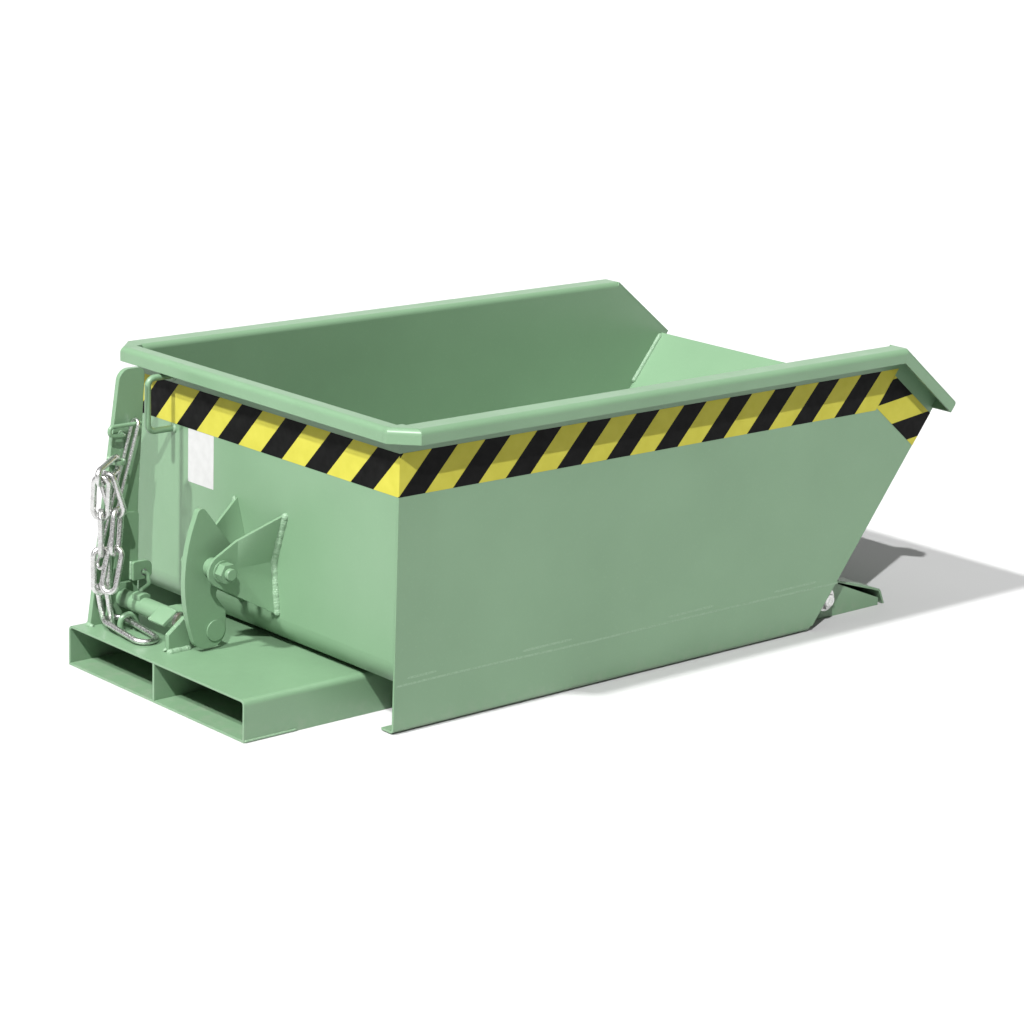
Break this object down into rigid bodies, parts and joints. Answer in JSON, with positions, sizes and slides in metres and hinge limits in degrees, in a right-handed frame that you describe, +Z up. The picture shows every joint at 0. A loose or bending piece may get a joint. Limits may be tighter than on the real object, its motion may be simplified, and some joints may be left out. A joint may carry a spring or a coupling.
{
  "type": "tipping skip",
  "caption": "Low sheet-steel tipping skip with fork pockets, a sloped pouring chute, a rear latch hook freed by a foot pedal, and a securing chain on a rear post.",
  "frame": {"origin": "on the floor under the middle of the whole skip, trough level and latched down", "axes": "+X towards the pouring chute, +Y towards the skip's left side, where the post stands, +Z up"},
  "size_m": [1.486, 0.8, 0.506],
  "materials": {
    "green_paint": "satin",
    "zinc": "dull zinc plate",
    "bare_steel": "worn",
    "bronze": "machined"
  },
  "bodies": {
    "base_frame": {"pocket_cover": "green_paint", "pocket_floor": "green_paint", "pocket_divider": "green_paint", "fork_stop": "green_paint", "wedge_sheet": "green_paint", "wedge_side_left": "green_paint", "wedge_side_right": "green_paint", "pivot_pins": "zinc", "pivot_washers": "zinc", "split_pins": "zinc", "rear_post": "green_paint", "post_foot_plate": "green_paint", "chain_lug": "green_paint", "loop_hanger": "green_paint", "securing_chain": "zinc", "chain_staple": "green_paint", "end_link": "zinc", "shaft_gusset_near": "green_paint", "shaft_bracket_far": "green_paint", "shaft_journals": "bare_steel", "keeper_lug": "green_paint"},
    "trough": {"trough_sheet": "green_paint", "side_plate_left": "green_paint", "side_plate_right": "green_paint", "rim_corner_left": "green_paint", "rim_corner_right": "green_paint", "front_rim_left": "green_paint", "front_rim_right": "green_paint", "rim_end_caps": "green_paint", "pivot_ear_left": "green_paint", "pivot_ear_right": "green_paint", "pivot_bushes": "bronze", "hook_bracket_left": "green_paint", "hook_bracket_right": "green_paint", "hook_bolt": "green_paint", "hook_nut": "green_paint", "hook_washers": "green_paint", "hook_spacers": "green_paint", "handle_bar": "green_paint"},
    "latch_hook": {"latch_hook": "green_paint", "hook_pin": "green_paint"},
    "latch_shaft": {"shaft_tube": "green_paint", "keeper_block": "green_paint", "foot_pedal": "green_paint", "catch_tongue": "green_paint"},
    "pull_loop": {"pull_loop": "zinc"},
    "keeper_hook": {"keeper_hook": "green_paint"}
  },
  "joints": [
    {"name": "trough_tip", "type": "hinge", "parent": "base_frame", "child": "trough", "pos_m": [0.5005, 0, 0.042], "axis": [0, 1, 0], "range_deg": [0, 68]},
    {"name": "latch_hook_swing", "type": "hinge", "parent": "trough", "child": "latch_hook", "pos_m": [-0.635, 0, 0.213], "axis": [0, 1, 0], "range_deg": [-12, 10]},
    {"name": "pedal_press", "type": "hinge", "parent": "base_frame", "child": "latch_shaft", "pos_m": [-0.664, 0.12, 0.115], "axis": [0, -1, 0], "range_deg": [0, 55]},
    {"name": "pull_loop_swing", "type": "hinge", "parent": "base_frame", "child": "pull_loop", "pos_m": [-0.636, 0.206, 0.418], "axis": [0, -1, 0], "range_deg": [0, 6]},
    {"name": "keeper_hook_lift", "type": "hinge", "parent": "base_frame", "child": "keeper_hook", "pos_m": [-0.621, 0.2, 0.152], "axis": [0, 1, 0], "range_deg": [0, 110]}
  ]
}
